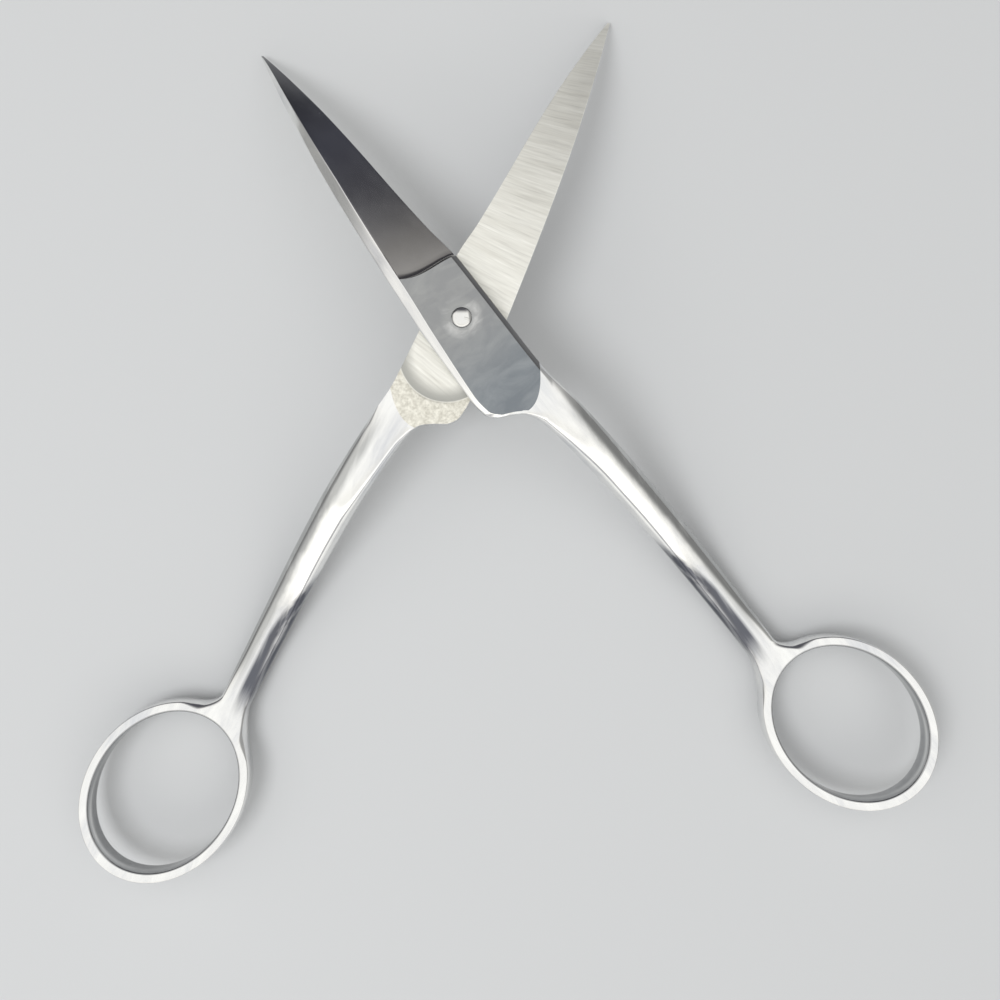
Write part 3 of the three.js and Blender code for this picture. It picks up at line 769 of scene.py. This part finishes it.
def soften(obj, end):
    """Takes the sharp marks off the edges beyond the end, a place along the half in metres, where
    shank, neck and ring are round."""
    mesh = obj.data
    place_of, pairs = np.zeros(3 * len(mesh.vertices)), np.zeros(2 * len(mesh.edges), int)
    sharp = np.zeros(len(mesh.edges), bool)
    mesh.vertices.foreach_get("co", place_of)
    mesh.edges.foreach_get("vertices", pairs)
    mesh.edges.foreach_get("use_edge_sharp", sharp)
    sharp &= (place_of[::3][pairs.reshape(-1, 2)] > end).any(1)
    mesh.edges.foreach_set("use_edge_sharp", sharp)


def painted_reflection_and_shade(u, v, z):
    """Three amounts of painted light on the polished steel, for its points in millimetres: a painted dark
    reflection along the spine side of the shank, a painted gray reflection along its edge side, and painted
    shade on the ring's inner wall, left off along a lighter streak that stands for a reflection."""
    spine, edge = spine_side(u), edge_side(u)
    across = np.clip((2 * v - spine - edge) / (edge - spine), -1, 1)
    dark_to = mix(-1.2, 0.05, smooth(-u, 38, 56))
    # Painted dark reflection along the spine side of the shank, fading out before the neck.
    dark = smooth(dark_to - across, -0.15, 0.35) * (1 - smooth(-u, 63, 71))
    # Painted gray reflection along the shank's edge side.
    painted_flank_reflection = smooth(-u, 15, 24) * (1 - smooth(-u, 58, 69)) * smooth(across, -0.1, 0.55)
    a, b = -u - RING_REACH, v - RING_OFFSET
    cos, sin = math.cos(RING_TURN), math.sin(RING_TURN)
    a, b = a * cos + b * sin, b * cos - a * sin
    within = np.hypot(a / (RING_LONG + 0.2 * RIM_LONG), b / (RING_SHORT + 0.2 * RIM_SHORT)) < 1
    roll, middle = np.arctan2(b, a), shank_height(RING_NEAR) + RING_RISE * (-u - RING_NEAR)
    # The ring's inner wall gets painted shade, left off along a lighter streak that stands for a reflection.
    up = 2 * (z - middle) / RING_THICK - 0.4 - 0.2 * np.sin(2 * roll + 1)
    streak = np.exp(-(up / 0.22) ** 2) * (0.6 + 0.35 * np.sin(3 * roll))
    return np.stack([dark, painted_flank_reflection, (within & (u < NECK_START)) * (1 - streak)], -1).astype(np.float32)


def store(obj, name, vectors):
    obj.data.attributes.new(name, "FLOAT_VECTOR", "POINT").data.foreach_set("vector", vectors.ravel())


pivot = Vector(frame["joints"][0]["pos_m"])


def place(obj, side, heading):
    """Keeps the piece's own coordinates for its material, and moves its mesh to where it lies."""
    own = np.zeros(3 * len(obj.data.vertices), np.float32)
    obj.data.vertices.foreach_get("co", own)
    own[1::3] *= -side
    store(obj, "along_and_across", own)
    store(obj, "painted_reflection_and_shade", painted_reflection_and_shade(*own.reshape(-1, 3).T / MM))
    turn = Matrix.Rotation(math.radians(heading), 4, "Z")
    obj.data.transform(Matrix.Translation((pivot.x, pivot.y, 0)) @ turn)


def finish_half(name, side, node_name, body, bore_profile):
    points, faces = half_mesh(side)
    obj = mesh_object(name, points, faces)
    cut(obj, turned(name + "_cut", bore_profile))
    clothe(obj, side)
    obj.data.shade_smooth()
    obj.data.set_sharp_from_angle(angle=math.radians(32))
    soften(obj, end=-0.03)
    place(obj, side, HEADING[side])
    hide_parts(node_name)
    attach(obj, body)


UPPER_FACE = PIVOT_HEIGHT + RIDE_GAP / 2 + PLATE_THICK
LOWER_FACE = PIVOT_HEIGHT - RIDE_GAP / 2 - PLATE_THICK
SEAT = LOWER_FACE + HEAD_SINK
bore, low_bore, counterbore = THREAD + BORE_CLEARANCE, SHAFT + CLEARANCE, HEAD + CLEARANCE
dish = [
    (bore + (DISH - bore) * s, UPPER_FACE - DISH_DEPTH * (1 - s ** 2) ** 2) for s in np.linspace(0, 1, 13)
]
upper_bore = [
    (0, PIVOT_HEIGHT - 1), (bore, PIVOT_HEIGHT - 1), *dish, (DISH + 1, UPPER_FACE + 1), (0, UPPER_FACE + 1),
]
lower_bore = [
    (0, LOWER_FACE - 1), (counterbore + 1, LOWER_FACE - 1), (counterbore, LOWER_FACE), (counterbore, SEAT),
    (low_bore, SEAT), (low_bore, PIVOT_HEIGHT + 1), (0, PIVOT_HEIGHT + 1),
]
finish_half("upper_half_steel", 1, "upper_half", "upper", upper_bore)
finish_half("lower_half_steel", -1, "lower_half", "lower", lower_bore)


# The screw: a head with a slot underneath, and a riveted dome in the dish
def groove(name, length, width, depth, at, turn):
    """A bar with rounded lower edges, to cut a groove."""
    w, d, e = width / 2, depth, width * 0.15
    section = [(-w, 1), (-w, -d + e), (-w + e, -d), (w - e, -d), (w, -d + e), (w, 1)]
    points = [(x, y, z) for x in (-length / 2, length / 2) for y, z in section]
    k = len(section)
    faces = [tuple(range(k)), tuple(range(2 * k - 1, k - 1, -1))]
    faces += [(i, (i + 1) % k, (i + 1) % k + k, i + k) for i in range(k)]
    obj = mesh_object(name, points, faces)
    obj.matrix_world = Matrix.Translation(Vector(at) * MM) @ turn
    return obj


def make_screw():
    under, base = SEAT - CLEARANCE, UPPER_FACE - DOME_SUNK
    low = under - HEAD_THICK
    crown = [(HEAD * s, low + CROWN * s ** 4) for s in (0, 0.3, 0.55, 0.75, 0.88)]
    corner = [(HEAD - 0.12, low + 0.2), (HEAD - 0.03, low + 0.3), (HEAD, low + 0.42), (HEAD, under - 0.08)]
    quarter = np.linspace(0, math.pi / 2, 12)[:-1]
    dome = [(THREAD * math.cos(a), base + DOME * math.sin(a)) for a in quarter]
    screw = turned("pivot_screw_steel", [
        *crown, *corner, (HEAD - 0.08, under), (SHAFT, under), (SHAFT, PIVOT_HEIGHT), (THREAD, PIVOT_HEIGHT),
        *dome, (0, base + DOME),
    ])
    face_down, tilt = Matrix.Rotation(math.pi, 4, "X"), Matrix.Rotation(math.radians(-18), 4, "Y")
    cut(screw, groove("slot_cut", 2 * HEAD + 1, SLOT_WIDTH, SLOT_DEPTH, (0, 0, low), face_down))
    cut(screw, groove("notch_cut", 0.8, NOTCH_WIDTH, NOTCH_DEPTH, (-0.75, 0, UPPER_FACE + 0.36), tilt))
    screw.data.materials.append(plain_steel(
        "screw_steel", (0.74, 0.74, 0.73), (0.84, 0.83, 0.80), (0.08, 0.18), 0.000002, 0.00002))
    screw.data.shade_smooth()
    screw.data.set_sharp_from_angle(angle=math.radians(40))
    place(screw, 1, HEADING[1] + 38)
    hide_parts("pivot_screw")
    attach(screw, "upper")


make_screw()


def make_floor():
    """A pale round floor, so wide that it reaches to the horizon."""
    radius, corners = 15000, 96
    rim = radius * np.exp(2j * np.pi * np.arange(corners) / corners)
    points = np.stack([rim.real, rim.imag, 0 * rim.real], -1)
    floor = mesh_object("floor", points, [tuple(range(corners))])
    paper = bpy.data.materials.new("pale_floor")
    paper.use_nodes = True
    set_input(paper.node_tree, "Base Color", (0.55, 0.56, 0.57, 1))
    set_input(paper.node_tree, "Roughness", 0.8)
    set_input(paper.node_tree, "Specular IOR Level", 0.2)
    floor.data.materials.append(paper)


make_floor()


# The light: a studio that is bright above and in front, and darker at its sides and behind
SKY = [  # heights, from 0 at the horizon to 1 overhead, and the colour at each
    (0.0, (0.36, 0.36, 0.37)), (0.12, (0.42, 0.42, 0.43)), (0.42, (0.95, 0.94, 0.92)),
    (0.6, (1.08, 1.07, 1.04)), (1.0, (1.08, 1.08, 1.07)),
]
WINDOWS = [  # the same for the side in front, with a dark bar between two windows
    (0.1, (0.8, 0.8, 0.8)), (0.3, (1.1, 1.1, 1.08)), (0.36, (0.42, 0.42, 0.44)), (0.41, (0.42, 0.42, 0.44)),
    (0.46, (1.5, 1.48, 1.42)), (0.62, (1.4, 1.38, 1.33)), (0.7, (1.02, 1.01, 0.98)),
]
DARK_PATCHES = [  # azimuth and elevation of the middle, where it fades from and to, in degrees, and colour
    (14, 15, 20, 42, (0.38, 0.38, 0.375)), (172, 2, 8, 26, (0.38, 0.38, 0.375)),
    (92, 22, 10, 46, (0.10, 0.10, 0.115)), (128, 12, 8, 26, (0.10, 0.10, 0.11)),
]
BACKDROP = (0.66, 0.67, 0.68)  # what the camera sees above the floor


def patch(tree, ray, sky, azimuth, elevation, inner, outer, colour):
    """The sky with a round patch of another colour, which fades out between two angles from its middle."""
    a, e = math.radians(azimuth), math.radians(elevation)
    made = tree.nodes.new("ShaderNodeVectorMath")
    made.operation = "DOT_PRODUCT"
    feed(tree, ray, made.inputs[0])
    made.inputs[1].default_value = (math.cos(e) * math.cos(a), math.cos(e) * math.sin(a), math.sin(e))
    ends = (math.cos(math.radians(outer)), 0.0), (math.cos(math.radians(inner)), 1.0)
    return blend(tree, eased_ramp(tree, made.outputs["Value"], *ends), sky, colour)


def make_world():
    world = bpy.data.worlds.new("studio")
    bpy.context.scene.world = world
    world.use_nodes = True
    tree = world.node_tree
    tree.nodes.clear()
    ray = tree.nodes.new("ShaderNodeTexCoord").outputs["Generated"]
    parts = node(tree, "ShaderNodeSeparateXYZ", Vector=ray)
    height, front = parts.outputs["Z"], calculate(tree, "MULTIPLY", parts.outputs["Y"], -1)
    sky = ramp(tree, height, *SKY)
    for spot in DARK_PATCHES:
        sky = patch(tree, ray, sky, *spot)
    sky = blend(tree, eased_ramp(tree, front, (0.35, 0.0), (0.6, 1.0)), sky, ramp(tree, height, *WINDOWS))
    seen = tree.nodes.new("ShaderNodeLightPath").outputs["Is Camera Ray"]
    light = node(tree, "ShaderNodeBackground", Color=sky, Strength=1.0)
    shown = node(tree, "ShaderNodeBackground", Color=(*BACKDROP, 1), Strength=1.0)
    both = node(tree, "ShaderNodeMixShader", Fac=seen)
    tree.links.new(light.outputs["Background"], both.inputs[1])
    tree.links.new(shown.outputs["Background"], both.inputs[2])
    node(tree, "ShaderNodeOutputWorld", Surface=both.outputs["Shader"])


def make_lamp(name, at, size, watts):
    """A soft lamp that looks at the middle of the scene and that the steel doesn't mirror."""
    data = bpy.data.lights.new(name, "AREA")
    data.shape, data.size, data.energy = "DISK", size, watts
    obj = bpy.data.objects.new(name, data)
    bpy.context.scene.collection.objects.link(obj)
    obj.location = at
    obj.rotation_euler = (-Vector(at)).to_track_quat("-Z", "Y").to_euler()
    obj.visible_glossy = False


def make_camera():
    """The camera looks straight down, as in the photograph. Its place and lens are fitted to it."""
    camera = bpy.data.objects.new("camera", bpy.data.cameras.new("camera"))
    bpy.context.scene.collection.objects.link(camera)
    camera.location = (-0.00189, -0.00828, 0.1919)
    camera.rotation_euler = (0, 0, 0.0147)
    camera.data.sensor_width = 36
    camera.data.lens = 43.63
    camera.data.clip_start = 0.01
    bpy.context.scene.camera = camera


make_world()
make_lamp("key", at=(-0.25, -0.15, 0.6), size=0.3, watts=1.6)
make_camera()
bpy.context.scene.view_settings.view_transform = "Standard"
